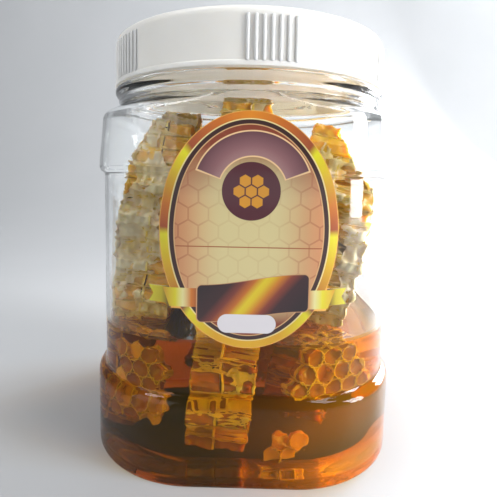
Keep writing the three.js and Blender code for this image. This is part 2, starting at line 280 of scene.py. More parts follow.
ridge_bm = bmesh.new()
upright = Matrix.Translation((FINISH, 0, THREAD_LOW)) @ Matrix.Rotation(pi / 2, 4, "X")
bmesh.ops.create_circle(ridge_bm, cap_ends=True, segments=12, radius=0.95, matrix=upright)
bmesh.ops.spin(
    ridge_bm,
    geom=ridge_bm.faces[:],
    axis=(0, 0, 1),
    dvec=(0, 0, THREAD_PITCH / 90),
    angle=2 * pi * THREAD_TURNS,
    steps=round(90 * THREAD_TURNS),
)
bmesh.ops.recalc_face_normals(ridge_bm, faces=ridge_bm.faces)
ridge = plain_object(ridge_bm, "thread ridge")
jar_bm = jar_skin([*under, *outside, *reversed(inside)])
bmesh.ops.recalc_face_normals(jar_bm, faces=jar_bm.faces)
jar_bm = combined(jar_bm, ridge, "UNION")
bpy.data.objects.remove(ridge)
jar_bm.normal_update()
for face in jar_bm.faces:
    middle = face.calc_center_median()
    faces_in = half_width(middle + face.normal * 0.2) < half_width(middle) - 0.02
    faces_in = faces_in and abs(face.normal.z) < 0.7
    faces_up = face.normal.z > 0.5 and middle.z < 5
    faces_down = face.normal.z < -0.5 and middle.z > 5
    if middle.z < HONEY_LEVEL and (faces_in or faces_up or faces_down):
        face.material_index = 1


def blown_pet(name, ior):
    """Clear PET, stretch-blown: a water-clear wall with a mirror gloss and faint waves from blowing."""
    pet, output = new_material(name)
    place = node(pet, "TexCoord").node.outputs["Object"]
    waves = node(pet, "TexNoise", {"Vector": place, "Scale": 70, "Detail": 1})
    surface = node(
        pet,
        "BsdfPrincipled",
        {
            "Base Color": linear("#FBFCFC"),
            "Roughness": 0.02,
            "IOR": ior,
            "Specular Tint": linear("#B4B4B4"),
            "Transmission Weight": 1,
            "Normal": node(pet, "Bump", {"Height": waves, "Strength": 0.12, "Distance": 0.4 * MM}),
        },
    )
    lets_lamps_through(pet, output, surface, linear("#F4F6F6"))
    return pet


# where honey wets the wall the two bend light almost alike, so nothing is mirrored between them
clear_pet = [blown_pet("clear blown PET", 1.5), blown_pet("clear PET wetted by honey", 1.007)]
piece_from(jar_bm, "jar_wall", clear_pet, ["jar"], smooth_under=60)

# Lid
# A screw lid of white polypropylene, moulded in one piece: a skirt with a bead at its lower edge, six
# groups of fine ribs for grip, and a top with a slightly raised border.
LID = 44.9
LID_LOW = 111.4
LID_HIGH = 126.4
LID_WALL = 1.4
RIB_GROUPS = 6
RIBS_EACH_SIDE = 3
RIB_RADIUS = 0.5
RIB_STEP = radians(2.67)
RIB_GROUP_TURN = radians(7.5)

lid_profile = rounded(
    [
        (0, LID_HIGH - LID_WALL, 0),
        (LID - LID_WALL, LID_HIGH - LID_WALL, 0.8),
        (LID - LID_WALL, LID_LOW, 0.2),
        (LID + 0.35, LID_LOW, 0.3),
        (LID + 0.35, LID_LOW + 1.2, 0.3),
        (LID, LID_LOW + 1.4, 0.15),
        (LID, LID_HIGH, 2.2),
        (LID - 4.4, LID_HIGH, 0.5),
        (LID - 5.2, LID_HIGH - 0.4, 0.5),
        (0, LID_HIGH - 0.4, 0),
    ]
)
lid_bm = bmesh.new()
line = [lid_bm.verts.new((x, 0, z)) for x, z in lid_profile]
edges = [lid_bm.edges.new(pair) for pair in zip(line, line[1:])]
bmesh.ops.spin(lid_bm, geom=line + edges, axis=(0, 0, 1), angle=2 * pi, steps=240, use_merge=True)
bmesh.ops.remove_doubles(lid_bm, verts=lid_bm.verts, dist=0.001)

rib_low, rib_high = LID_LOW + 1.1, LID_HIGH - 2.5
for group in range(RIB_GROUPS):
    for rib in range(-RIBS_EACH_SIDE, RIBS_EACH_SIDE + 1):
        turn = RIB_GROUP_TURN + group * 2 * pi / RIB_GROUPS + rib * RIB_STEP
        at = Matrix.Rotation(turn, 4, "Z") @ Matrix.Translation((0, -LID, (rib_low + rib_high) / 2))
        bar = bmesh.ops.create_cone(
            lid_bm,
            cap_ends=True,
            segments=12,
            radius1=RIB_RADIUS,
            radius2=RIB_RADIUS,
            depth=rib_high - rib_low,
            matrix=at,
        )["verts"]
        edges = dict.fromkeys(edge for vert in bar for edge in vert.link_edges)
        ends = [edge for edge in edges if abs(edge.verts[0].co.z - edge.verts[1].co.z) < 0.01]
        bmesh.ops.bevel(
            lid_bm, geom=ends, offset=0.25, segments=2, profile=0.5, affect="EDGES", material=-1
        )

# White polypropylene, injection moulded: a soft waxy sheen over a fine spark-eroded grain
polypropylene, lid_output = new_material("white moulded polypropylene")
place = node(polypropylene, "TexCoord").node.outputs["Object"]
grain = node(polypropylene, "TexNoise", {"Vector": place, "Scale": 2200, "Detail": 2})
relief = {"Height": grain, "Strength": 0.25, "Distance": 0.03 * MM}
cloud = node(polypropylene, "TexNoise", {"Vector": place, "Scale": 60, "Detail": 3})
whites = {"Factor": cloud, "A": linear("#E9E8E4"), "B": linear("#DEDDD8")}
lid_surface = node(
    polypropylene,
    "BsdfPrincipled",
    {
        "Base Color": node(polypropylene, "Mix", whites, data_type="RGBA"),
        "Roughness": 0.34,
        "Subsurface Weight": 0.7,
        "Subsurface Radius": (1, 0.95, 0.85),
        "Subsurface Scale": 3 * MM,
        "Normal": node(polypropylene, "Bump", relief),
    },
)
polypropylene.node_tree.links.new(lid_surface, lid_output.inputs["Surface"])
piece_from(lid_bm, "screw_lid", [polypropylene], ["lid"], smooth_under=50)

# Label
# A die-cut label of printed and laminated paper, stuck round the front of the jar: an oval in a gilt
# border, with a ribbon across it whose forked tails pass its sides. It has no words.
LABEL_X, LABEL_Z = 0.9, 69.6
OVAL = (23.3, 30.7)  # half width and half height
LABEL_GAP = 0.3
LABEL_THICK = 0.25
LABEL_STEP = 1.6  # between the lines along which the sheet bends
TAIL_Z = -16.8  # heights on the label are from its middle
TAIL_REACH, TAIL_HALF, TAIL_NOTCH = 26.2, 2.2, 1.3
FOLD_REACH, FOLD_LOW, FOLD_SLANT = 21.6, -20.4, 1.0
INK_EDGE = 0.12
FIELD_CELL = 5.2
ARCH_X, ARCH_Z = 0.7, 10.6
ARCH_IN, ARCH_OUT, ARCH_RIM = 8.9, 14.9, 0.35
ARCH_END = radians(69)  # from upright to the arch's end
DISC_X, DISC_Z, DISC_RADIUS = 0.4, 10.5, 7.45
DISC_CELL = 3.1
RULE_LOW, RULE_HIGH, RULE_LEFT, RULE_RIGHT = -4.02, -3.74, -18.9, 19.9
RIBBON_X, RIBBON_Z, RIBBON_WAVE = 1.36, -17.3, 1.67
RIBBON_HALF = (14.45, 4.88)
RIBBON_RIM_HALF = (14.75, 5.05)
PILL_X, PILL_Z, PILL_HALF = -0.1, -24.15, (7.65, 2.5)
BORDER = (0.16, 1.95, 2.25, 3.3, 3.55)  # where the border's bands end, in from the oval's edge
INSIDE_ALL = -40  # lower than any distance on the label


def oval_arc(start, end, steps=40):
    """Points along the oval between two angles."""
    angles = [start + (end - start) * step / steps for step in range(steps + 1)]
    return [(OVAL[0] * cos(angle), OVAL[1] * sin(angle)) for angle in angles]


def wall_behind_label(z):
    """The jar's half width behind the label, which bridges the step under the shoulder band."""
    share = min(max((z - 76) / 10.2, 0), 1)
    down = max(z - 88.2, 0) / 13.1
    return PANEL + 1.5 * share * share * (3 - 2 * share) - 1.15 * down


right_half = [
    *oval_arc(pi / 2, asin((TAIL_Z + TAIL_HALF) / OVAL[1])),
    (TAIL_REACH, TAIL_Z + TAIL_HALF),
    (TAIL_REACH - TAIL_NOTCH, TAIL_Z),
    (TAIL_REACH, TAIL_Z - TAIL_HALF),
    (FOLD_REACH, TAIL_Z - TAIL_HALF),
    (FOLD_REACH - FOLD_SLANT, FOLD_LOW),
    *oval_arc(asin(FOLD_LOW / OVAL[1]), -pi / 2),
]
left_half = [(-x, z) for x, z in reversed(right_half[1:-1])]
label_bm = bmesh.new()
cut_line = [label_bm.verts.new((LABEL_X + x, 0, LABEL_Z + z)) for x, z in right_half + left_half]
label_bm.faces.new(cut_line)
for axis, middle, reach in (((1, 0, 0), LABEL_X, TAIL_REACH), ((0, 0, 1), LABEL_Z, OVAL[1])):
    for step in range(-floor(reach / LABEL_STEP), ceil(reach / LABEL_STEP)):
        through = Vector(axis) * (middle + step * LABEL_STEP)
        geometry = [*label_bm.verts, *label_bm.edges, *label_bm.faces]
        bmesh.ops.bisect_plane(label_bm, geom=geometry, dist=1e-4, plane_co=through, plane_no=axis)
for vert in label_bm.verts:
    round_radius = wall_behind_label(vert.co.z) + LABEL_GAP + LABEL_THICK - FLAT
    past_flat = max(abs(vert.co.x) - FLAT, 0)
    vert.co.y = -FLAT - sqrt(round_radius**2 - past_flat**2)
bmesh.ops.recalc_face_normals(label_bm, faces=label_bm.faces)
if sum(face.normal.y for face in label_bm.faces) > 0:
    bmesh.ops.reverse_faces(label_bm, faces=label_bm.faces)
bmesh.ops.solidify(label_bm, geom=label_bm.faces, thickness=LABEL_THICK)

# Coated paper with a printed and laminated face: crisp inks under a thin glossy film, and a plain white
# back. The print is laid out in millimetres from the label's middle.
paper, paper_output = new_material("laminated printed paper")
ink = partial(node, paper)

to_label = {"Location": (-LABEL_X, 0, -LABEL_Z), "Scale": (1 / MM, 0, 1 / MM)}
on_label = ink("Mapping", {"Vector": ink("TexCoord").node.outputs["Object"], **to_label})
split = ink("SeparateXYZ", {"Vector": on_label}).node
across, up = split.outputs["X"], split.outputs["Z"]


def between(value, low, high):
    """1 where a value lies between two others, and 0 elsewhere."""
    ends = {"From Min": low - INK_EDGE / 2, "From Max": low + INK_EDGE / 2}
    above = ink("MapRange", {"Value": value, **ends})
    ends = {"From Min": high - INK_EDGE / 2, "From Max": high + INK_EDGE / 2, "To Min": 1, "To Max": 0}
    below = ink("MapRange", {"Value": value, **ends})
    return ink("Math", {0: above, 1: below}, operation="MULTIPLY")


def far_from(x, z):
    """The distance from a point of the label, and the way from it."""
    way = ink("VectorMath", {0: on_label, 1: (x, 0, z)}, operation="SUBTRACT")
    return ink("VectorMath", {0: way}, operation="LENGTH"), way


def rounded_panel(way, half_width, half_height, corner):
    """1 inside a rectangle with round corners, round the point that way starts from."""
    shrunk = (half_width - corner, 0, half_height - corner)
    folded = ink("VectorMath", {0: way}, operation="ABSOLUTE")
    past = ink("VectorMath", {0: folded, 1: shrunk}, operation="SUBTRACT")
    past = ink("VectorMath", {0: past, 1: (0, 0, 0)}, operation="MAXIMUM")
    return between(ink("VectorMath", {0: past}, operation="LENGTH"), -1, corner)


def cells_print(way, size):
    """Six-sided cells: the distance in from a cell's edge, and the cell's middle."""
    period = (size, 0, size * sqrt(3))
    half = Vector(period) / 2
    choices = []
    for shift in (Vector((0, 0, 0)), half):
        moved = ink("VectorMath", {0: way, 1: shift}, operation="SUBTRACT")
        choices.append(ink("VectorMath", {0: moved, 1: half, 2: -half}, operation="WRAP"))
    lengths = [ink("VectorMath", {0: choice}, operation="LENGTH") for choice in choices]
    second = ink("Math", {0: lengths[1], 1: lengths[0]}, operation="LESS_THAN")
    within = ink("Mix", {"Factor": second, "A": choices[0], "B": choices[1]}, data_type="VECTOR")
    middle = ink("VectorMath", {0: way, 1: within}, operation="SUBTRACT")
    folded = ink("VectorMath", {0: within}, operation="ABSOLUTE")
    reaches = []
    for direction in ((1, 0, 0), (0.5, 0, sqrt(0.75))):
        reaches.append(ink("VectorMath", {0: folded, 1: direction}, operation="DOT_PRODUCT"))
    reach = ink("Math", {0: reaches[0], 1: reaches[1]}, operation="MAXIMUM")
    return ink("Math", {0: size / 2, 1: reach}, operation="SUBTRACT"), middle


# how far in from the oval's edge a point lies, with the border's bands a quarter wider at the sides
unit = (1 / OVAL[0], 0, 1 / OVAL[1])
in_oval = ink("VectorMath", {0: on_label, 1: unit}, operation="MULTIPLY")
out = ink("VectorMath", {0: in_oval}, operation="LENGTH")
slope = ink("VectorMath", {0: in_oval, 1: unit}, operation="MULTIPLY")
slope = ink("VectorMath", {0: slope}, operation="LENGTH")
from_edge = ink("Math", {0: 1, 1: out}, operation="SUBTRACT")
from_edge = ink("Math", {0: from_edge, 1: out}, operation="MULTIPLY")
from_edge = ink("Math", {0: from_edge, 1: slope}, operation="DIVIDE")
split = ink("SeparateXYZ", {"Vector": in_oval}).node
sideways = ink("Math", {0: split.outputs["X"]}, operation="ABSOLUTE")
wider = ink("Math", {0: sideways, 1: sideways}, operation="MULTIPLY")
wider = ink("Math", {0: wider, 1: 0.24, 2: 1}, operation="MULTIPLY_ADD")
inward = ink("Math", {0: from_edge, 1: wider}, operation="DIVIDE")
around = ink("Math", {0: split.outputs["Z"], 1: sideways}, operation="ARCTAN2")
down_side = ink("Math", {0: around, 1: -1 / pi, 2: 0.5}, operation="MULTIPLY_ADD")

# the field: cream in the middle, peach at the sides, brown at the top and the bottom, with faint cells
sides = {"Value": sideways, "From Min": 0.25, "From Max": 0.85}
peachy = ink("MapRange", sides, interpolation_type="SMOOTHSTEP")
high_up = ink("MapRange", {"Value": up, "From Min": 9, "From Max": 22})
outer = ink("MapRange", {"Value": out, "From Min": 0.42, "From Max": 0.66})
browned_top = ink("Math", {0: high_up, 1: outer}, operation="MULTIPLY")
browned_low = ink("MapRange", {"Value": up, "From Min": -18, "From Max": -24})
browned = ink("Math", {0: browned_top, 1: browned_low}, operation="MAXIMUM")
lattice, _ = cells_print(on_label, FIELD_CELL)
drawn = between(lattice, -1, 0.22)
faint = ink("Math", {0: peachy, 1: 0.45, 2: 0.12}, operation="MULTIPLY_ADD")
faint_cells = ink("Math", {0: drawn, 1: faint}, operation="MULTIPLY")

# the arch over the disc, and the disc with its seven cells
arch_far, arch_way = far_from(ARCH_X, ARCH_Z)
split = ink("SeparateXYZ", {"Vector": arch_way}).node
arch_side = ink("Math", {0: split.outputs["X"]}, operation="ABSOLUTE")
arch_angle = ink("Math", {0: arch_side, 1: split.outputs["Z"]}, operation="ARCTAN2")
middle_radius = (ARCH_IN + ARCH_OUT) / 2
arch_along = ink("Math", {0: arch_angle, 1: middle_radius}, operation="MULTIPLY")
arch_end = ARCH_END * middle_radius
arch_depth = between(arch_far, ARCH_IN, ARCH_OUT)
arch_reach = between(arch_along, -1, arch_end)
arch = ink("Math", {0: arch_depth, 1: arch_reach}, operation="MULTIPLY")
arch_depth = between(arch_far, ARCH_IN - ARCH_RIM, ARCH_OUT + ARCH_RIM)
arch_reach = between(arch_along, -1, arch_end + ARCH_RIM)
arch_rim = ink("Math", {0: arch_depth, 1: arch_reach}, operation="MULTIPLY")
arch_share = ink("MapRange", {"Value": arch_far, "From Min": ARCH_IN, "From Max": ARCH_OUT})
plums = [(0, "#94706F"), (0.4, "#80595C"), (1, "#5E3C42")]
arch_ink = ink("ValToRGB", {"Fac": arch_share}, stops=plums)
disc_far, disc_way = far_from(DISC_X, DISC_Z)
disc = between(disc_far, -1, DISC_RADIUS)
cell_edge, cell_middle = cells_print(disc_way, DISC_CELL)
cell_far = ink("VectorMath", {0: cell_middle}, operation="LENGTH")
whole_cells = between(cell_edge, 0.17, 9)
nearest_cells = between(cell_far, -1, 3.5)
seven = ink("Math", {0: whole_cells, 1: nearest_cells}, operation="MULTIPLY")
seven = ink("Math", {0: seven, 1: disc}, operation="MULTIPLY")
rule_height = between(up, RULE_LOW, RULE_HIGH)
rule_width = between(across, RULE_LEFT, RULE_RIGHT)
rule = ink("Math", {0: rule_height, 1: rule_width}, operation="MULTIPLY")

# the ribbon: a waving front panel, folded behind itself at both sides
from_middle = ink("Math", {0: across, 1: RIBBON_X}, operation="SUBTRACT")
wave = ink("Math", {0: from_middle, 1: pi / 2 / 14.4}, operation="MULTIPLY")
wave = ink("Math", {0: wave}, operation="SINE")
above_ribbon = ink("Math", {0: up, 1: -RIBBON_Z}, operation="ADD")
above_ribbon = ink("Math", {0: wave, 1: -RIBBON_WAVE, 2: above_ribbon}, operation="MULTIPLY_ADD")
ribbon_way = ink("CombineXYZ", {"X": from_middle, "Z": above_ribbon})
ribbon = rounded_panel(ribbon_way, *RIBBON_HALF, 1.2)
ribbon_rim = rounded_panel(ribbon_way, *RIBBON_RIM_HALF, 1.4)
slanted = ink("Math", {0: above_ribbon, 1: -0.93, 2: from_middle}, operation="MULTIPLY_ADD")
slanted = ink("MapRange", {"Value": slanted, "From Min": -16.4, "From Max": 15.6})
ribbon_ink = ink(
    "ValToRGB",
    {"Fac": slanted},
    stops=[
        (0, "#26161A"),
        (0.2, "#331B1D"),
        (0.3, "#6E3026"),
        (0.4, "#B0601E"),
        (0.49, "#CBB61E"),
        (0.53, "#C9AE1C"),
        (0.62, "#B96F1A"),
        (0.7, "#7A3424"),
        (0.8, "#351B20"),
        (1, "#221318"),
    ],
)
to_side = ink("Math", {0: across, 1: 0.36}, operation="SUBTRACT")
to_side = ink("Math", {0: to_side}, operation="ABSOLUTE")
leaning = ink("Math", {0: up, 1: -0.36, 2: -14.9 * 0.36}, operation="MULTIPLY_ADD")
leaning = ink("Math", {0: to_side, 1: leaning}, operation="ADD")
fold = ink("Math", {0: between(leaning, 12, 22.6), 1: between(up, -19.9, -14.9)}, operation="MULTIPLY")
tail_reach = between(to_side, 20.4, 40)
tail_height = between(up, INSIDE_ALL, -14.4)
tail = ink("Math", {0: tail_reach, 1: tail_height}, operation="MULTIPLY")
tail = ink("Math", {0: tail, 1: between(inward, INSIDE_ALL, 0)}, operation="MULTIPLY")
side_share = ink("MapRange", {"Value": to_side, "From Min": 13, "From Max": 23})
fold_ink = ink(
    "ValToRGB",
    {"Fac": side_share},
    stops=[
        (0, "#7C3F1E"),
        (0.2, "#BA6A24"),
        (0.42, "#CFC88C"),
        (0.62, "#CABF24"),
        (0.85, "#C4A024"),
        (1, "#C08028"),
    ],
)
tail_share = ink("MapRange", {"Value": to_side, "From Min": 21, "From Max": 26})
golds = [(0, "#5E3E14"), (0.4, "#B4A31E"), (1, "#C9BE2A")]
tail_ink = ink("ValToRGB", {"Fac": tail_share}, stops=golds)
_, pill_way = far_from(PILL_X, PILL_Z)
pill = rounded_panel(pill_way, *PILL_HALF, PILL_HALF[1])

gilt = ink(
    "ValToRGB",
    {"Fac": down_side},
    stops=[
        (0, "#CE7E1E"),
        (0.12, "#B5611F"),
        (0.235, "#8C4428"),
        (0.26, "#CBC61E"),
        (0.34, "#C69F1C"),
        (0.42, "#B8681A"),
        (0.49, "#93421E"),
        (0.51, "#CEC61C"),
        (0.6, "#C49A1A"),
        (0.7, "#A65E20"),
        (0.735, "#7A4230"),
        (0.76, "#C9C01E"),
        (0.88, "#C6921A"),
        (1, "#CC9C1C"),
    ],
)
layers = [
    (peachy, linear("#BC8259")),
    (browned, linear("#7B3823")),
    (faint_cells, linear("#96583C")),
    (rule, linear("#93502F")),
    (arch_rim, linear("#DDB98A")),
    (arch, arch_ink),
    (disc, linear("#4C1F28")),
    (seven, linear("#C98A1E")),
    (between(inward, INSIDE_ALL, BORDER[4]), linear("#C9A070")),
    (between(inward, INSIDE_ALL, BORDER[3]), linear("#341A18")),
    (between(inward, INSIDE_ALL, BORDER[2]), linear("#D8C68A")),
    (between(inward, INSIDE_ALL, BORDER[1]), gilt),
    (between(inward, INSIDE_ALL, BORDER[0]), linear("#DDA24A")),
    (tail, tail_ink),
    (fold, fold_ink),
    (ribbon_rim, linear("#B98A62")),
    (ribbon, ribbon_ink),
    (pill, linear("#CFCBCF")),
]
printed = linear("#C6B886")
for share, colour in layers:
    printed = ink("Mix", {"Factor": share, "A": printed, "B": colour}, data_type="RGBA")
facing = ink("TexCoord").node.outputs["Normal"]
facing = ink("SeparateXYZ", {"Vector": facing}).node.outputs["Y"]
behind = ink("MapRange", {"Value": facing, "From Min": -0.1, "From Max": 0.1})
printed = ink("Mix", {"Factor": behind, "A": printed, "B": linear("#DEDACF")}, data_type="RGBA")
fibres = ink("TexNoise", {"Vector": on_label, "Scale": 2.5, "Detail": 2})
swell = ink("TexNoise", {"Vector": on_label, "Scale": 0.09, "Detail": 1})
relief = ink("Math", {0: swell, 1: 12, 2: fibres}, operation="MULTIPLY_ADD")
paper_surface = ink(
    "BsdfPrincipled",
    {
        "Base Color": printed,
        "Roughness": 0.38,
        "Coat Weight": 0.5,
        "Coat Roughness": 0.12,
        "Normal": ink("Bump", {"Height": relief, "Strength": 0.3, "Distance": 0.04 * MM}),
    },
)
paper.node_tree.links.new(paper_surface, paper_output.inputs["Surface"])
piece_from(label_bm, "front_label", [paper], ["label"])

# Comb
# Slabs of natural comb, cut from the frame with a knife: thin six-sided wax cells on both sides of a
# midrib, drained in places and still full of honey in others, with torn wax smeared over the cuts. The
# slabs stand in the jar and lean on each other and on its wall.
CELL = 5.3
CELL_SIDE = CELL / sqrt(3)
ROW = CELL * sqrt(0.75)
MIDRIB = 0.7
CELL_WALL = 0.34
CELL_STEPS = 5
FILM = 0.22  # thickness of the smeared wax
SHUT = 0.06  # share of cells that are solid wax
WAX_WORN, SMEARS_WORN, HONEY_WORN = 1.3, 1.1, 1.9
COMBS = {  # middle, turn, lean, share of cells that hold honey, and share of the skin that wax covers
    "comb_left": ((-29.5, -8, 57), 180, -7, 0.75, 0.6),
    "comb_centre": ((-3.5, -13, 54), 0, 5, 0.75, 0.4),
    "comb_right": ((23.5, -9, 56), -8, 10, 0.85, 0.5),
    "comb_back": ((0, 27.5, 56), 90, 1, 0.7, 0.35),
    "comb_low_left": ((-28.5, -31, 24), -122, 0, 0.8, 0.3),
    "comb_low_right": ((23, -32.8, 25), -60, 0, 0.8, 0.3),
    "comb_bit_low": ((11, -34.5, 9.5), -84, -8, 0, 0.3),
}


noise.seed_set(4)  # without it noise_vector starts from the clock


def bend(bm, seed):
    """Bends drawn-out wax a little, the same way for everything in one slab."""
    shift = Vector((seed * 31.7, seed * 17.3, seed * 7.9))
    for vert in bm.verts:
        slow = noise.noise_vector(vert.co / 9 + shift)
        quick = noise.noise_vector(vert.co / 2.6 + shift)
        vert.co += slow * 0.9 + quick * 0.32


def cell_middles(low, high):
    """Middles (y, z) of the cells between two corners of a slab's own frame."""
    for row in range(ceil(low.z / ROW), floor(high.z / ROW) + 1):
        offset = 0 if row % 2 == 0 else 0.5
        for column in range(floor(low.y / CELL), ceil(high.y / CELL) + 1):
            yield (column + offset) * CELL, row * ROW


def from_cell_middle(y, z):
    """The distance from the middle of the nearest cell."""
    nearest = CELL
    for row in range(floor(z / ROW), floor(z / ROW) + 2):
        offset = 0 if row % 2 == 0 else 0.5
        column = round(y / CELL - offset)
        nearest = min(nearest, hypot(y - (column + offset) * CELL, z - row * ROW))
    return nearest


def wax_cells(middles, reach, solid_share, seed):
    """Open cells on both sides of a midrib, some of them stopped up with wax."""
    bm = bmesh.new()
    for y, z in middles:
        at = Matrix.Translation((0, y, z)) @ Matrix.Rotation(pi / 2, 4, "Y")
        bmesh.ops.create_circle(bm, cap_ends=True, segments=6, radius=CELL_SIDE, matrix=at)
    bmesh.ops.remove_doubles(bm, verts=bm.verts, dist=0.05)
    bmesh.ops.recalc_face_normals(bm, faces=bm.faces)
    bmesh.ops.solidify(bm, geom=bm.faces, thickness=MIDRIB)
    bm.normal_update()
    cells = [face for face in bm.faces if len(face.verts) == 6 and abs(face.normal.x) > 0.9]
    opened = dict.fromkeys(face for face in cells if chance.random() > solid_share)
    bmesh.ops.inset_individual(bm, faces=list(opened), thickness=CELL_WALL / 2, use_even_offset=True)
    bm.normal_update()
    for sign in (-1, 1):
        tops = [face for face in bm.faces if face.normal.x * sign > 0.9 and face not in opened]
        for step in range(CELL_STEPS):
            # the edges are named too, so that no face stays behind inside the wax
            edges = list(dict.fromkeys(edge for face in tops for edge in face.edges))
            grown = bmesh.ops.extrude_face_region(bm, geom=tops + edges)["geom"]
            tops = [item for item in grown if isinstance(item, bmesh.types.BMFace)]
            verts = list(dict.fromkeys(vert for face in tops for vert in face.verts))
            bmesh.ops.translate(bm, verts=verts, vec=(sign * reach / CELL_STEPS, 0, 0))
    bend(bm, seed)
    # the operators above leave their order to chance
    bm.verts.sort(key=lambda vert: vert.co.dot((1, 1e3, 1e6)))
    bm.faces.sort(key=lambda face: face.calc_center_median().dot((1, 1e3, 1e6)))
    return bm


def honey_in_cells(middles, reach, seed):
    """Fillings on both sides of the midrib, each a little short of its cell's mouth."""
    bm = bmesh.new()
    radius = CELL_SIDE - CELL_WALL / 2
    for y, z in middles:
        for sign in (-1, 1):
            depth = reach * chance.uniform(0.7, 1)
            middle = Matrix.Translation((sign * (MIDRIB + depth) / 2, y, z))
            at = middle @ Matrix.Rotation(pi / 2, 4, "Y")
            bmesh.ops.create_cone(
                bm, cap_ends=True, segments=6, radius1=radius, radius2=radius, depth=depth, matrix=at
            )
    bend(bm, seed)
    return bm


def torn_block(name, to_own, seed, depth, grain=0.8):
    """The slab's outline from the frame, in its own frame, worn inwards unevenly by up to depth."""
    bm = bmesh.new()
    bm.from_mesh(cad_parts[name].data)
    bmesh.ops.remove_doubles(bm, verts=bm.verts, dist=1e-6)
    bmesh.ops.transform(bm, matrix=to_own @ Matrix.Scale(1 / MM, 4), verts=bm.verts)
    block = plain_object(bm, "block")
    remesh = block.modifiers.new("remesh", "REMESH")
    remesh.mode = "VOXEL"
    remesh.voxel_size = grain
    bm = after_modifiers(block)
    bm.normal_update()
    shift = Vector((seed * 5.1, seed * 9.7, seed * 2.3))
    for vert in bm.verts:
        worn = 0.5 + 0.5 * noise.noise(vert.co / 7 + shift) + 0.5 * noise.noise(vert.co / 2.2 + shift)
        vert.co -= vert.normal * depth * min(max(worn, 0), 1)
    return bm


def smeared_wax(bm, to_jar, seed, covered):
    """Torn films of wax from a worn block: caps that bulge over cells, and wrinkled smears that hang
    between the cell walls of a cut. There is more on the slab's outer side, and less in the honey."""
    shift = Vector((seed * 3.3, seed * 8.1, seed * 6.7))
    bm.normal_update()
    bare = []
    for face in bm.faces:
        middle = face.calc_center_median()
        patch = noise.noise(Vector((middle.x / 9, middle.y / 9, middle.z / 14)) + shift)
        patch += 0.35 * noise.noise(middle / 2.5 + shift)
        share = covered + 0.03 * middle.x
        if (to_jar @ middle).z < HONEY_LEVEL:
            share -= 0.6
        if patch < (0.5 - share) * 0.9:
            bare.append(face)
    bmesh.ops.delete(bm, geom=bare, context="FACES")
    rim = [vert for vert in bm.verts if vert.is_boundary]
    for _ in range(4):
        bmesh.ops.smooth_vert(
            bm, verts=rim, factor=0.5, use_axis_x=True, use_axis_y=True, use_axis_z=True
        )
    moves = {}
    for vert in bm.verts:
        to_wall = from_cell_middle(vert.co.y, vert.co.z) / CELL_SIDE
        relief = 0.2 - 0.5 * to_wall if abs(vert.normal.x) > 0.7 else 0.9 * to_wall - 0.75
        streak = noise.noise(Vector((vert.co.x / 1.1, vert.co.y / 1.1, vert.co.z / 3.5)) + shift)
        moves[vert] = vert.normal * min(relief + 0.7 * streak, 0.3)
    for vert, move in moves.items():
        vert.co += move
    film = plain_object(bm, "film")
    thick = film.modifiers.new("thickness", "SOLIDIFY")
    thick.thickness = FILM
    return after_modifiers(film)


def wax_finish(name, dry, soaked, lowest_soak):
    """Beeswax that honey has soaked in clouds, and all of it below the honey's level."""
    wax, output = new_material(name)
    place = node(wax, "TexCoord").node.outputs["Object"]
    cloud = node(wax, "TexNoise", {"Vector": place, "Scale": 90, "Detail": 4, "Roughness": 0.6})
    fine = node(wax, "TexNoise", {"Vector": place, "Scale": 900, "Detail": 3})
    soak = {"Value": cloud, "From Min": lowest_soak, "From Max": lowest_soak + 0.2}
    patches = node(wax, "MapRange", soak)
    height = node(wax, "SeparateXYZ", {"Vector": place}).node.outputs["Z"]
    level = {"From Min": (HONEY_LEVEL + 14) * MM, "From Max": HONEY_LEVEL * MM}
    sunk = node(wax, "MapRange", {"Value": height, **level})
    share = node(wax, "Math", {0: patches, 1: sunk}, operation="MAXIMUM")
    colours = {"Factor": share, "A": linear(dry), "B": linear(soaked)}
    wetness = node(wax, "MapRange", {"Value": share, "To Min": 0.42, "To Max": 0.1})
    surface = node(
        wax,
        "BsdfPrincipled",
        {
            "Base Color": node(wax, "Mix", colours, data_type="RGBA"),
            "Roughness": wetness,
            "IOR": 1.44,
            "Subsurface Weight": 0.6,
            "Subsurface Radius": (1.0, 0.62, 0.28),
            "Subsurface Scale": 2.5 * MM,
            "Normal": node(wax, "Bump", {"Height": fine, "Strength": 0.5, "Distance": 0.12 * MM}),
        },
    )
    wax.node_tree.links.new(surface, output.inputs["Surface"])
    return wax


# Drawn beeswax: ivory to yellow, golden where honey has soaked it, with a soft, greasy sheen that is
# glossy where it is wet. Smeared wax is thinner, paler and drier.
drawn_wax = wax_finish("drawn beeswax", "#FCD58C", "#F2B634", 0.42)
film_wax = wax_finish("smeared beeswax", "#FFD29C", "#F8BE62", 0.52)

# Honey left in the cells: a glossy golden filling, with painted shade that turns it dark amber below
# the honey's level
filling, filling_output = new_material("honey in the cells")
place = node(filling, "TexCoord").node.outputs["Object"]
cloud = node(filling, "TexNoise", {"Vector": place, "Scale": 120, "Detail": 2})
ambers = {"Factor": cloud, "A": linear("#F2C050"), "B": linear("#CF8A14")}
height = node(filling, "SeparateXYZ", {"Vector": place}).node.outputs["Z"]
level = {"From Min": (HONEY_LEVEL + 3) * MM, "From Max": (HONEY_LEVEL - 1) * MM}
sunk = node(filling, "MapRange", {"Value": height, **level})
golden = node(filling, "Mix", ambers, data_type="RGBA")
# painted shade: below the honey's level the filling is mixed towards dark amber
painted_shade_below_level = {"Factor": sunk, "A": golden, "B": linear("#A35F08")}
filling_surface = node(
    filling,
    "BsdfPrincipled",
    {
        "Base Color": node(filling, "Mix", painted_shade_below_level, data_type="RGBA"),
        "Roughness": 0.06,
        "IOR": 1.49,
        "Subsurface Weight": 0.7,
        "Subsurface Radius": (1.0, 0.55, 0.1),
        "Subsurface Scale": 3 * MM,
    },
)
filling.node_tree.links.new(filling_surface, filling_output.inputs["Surface"])

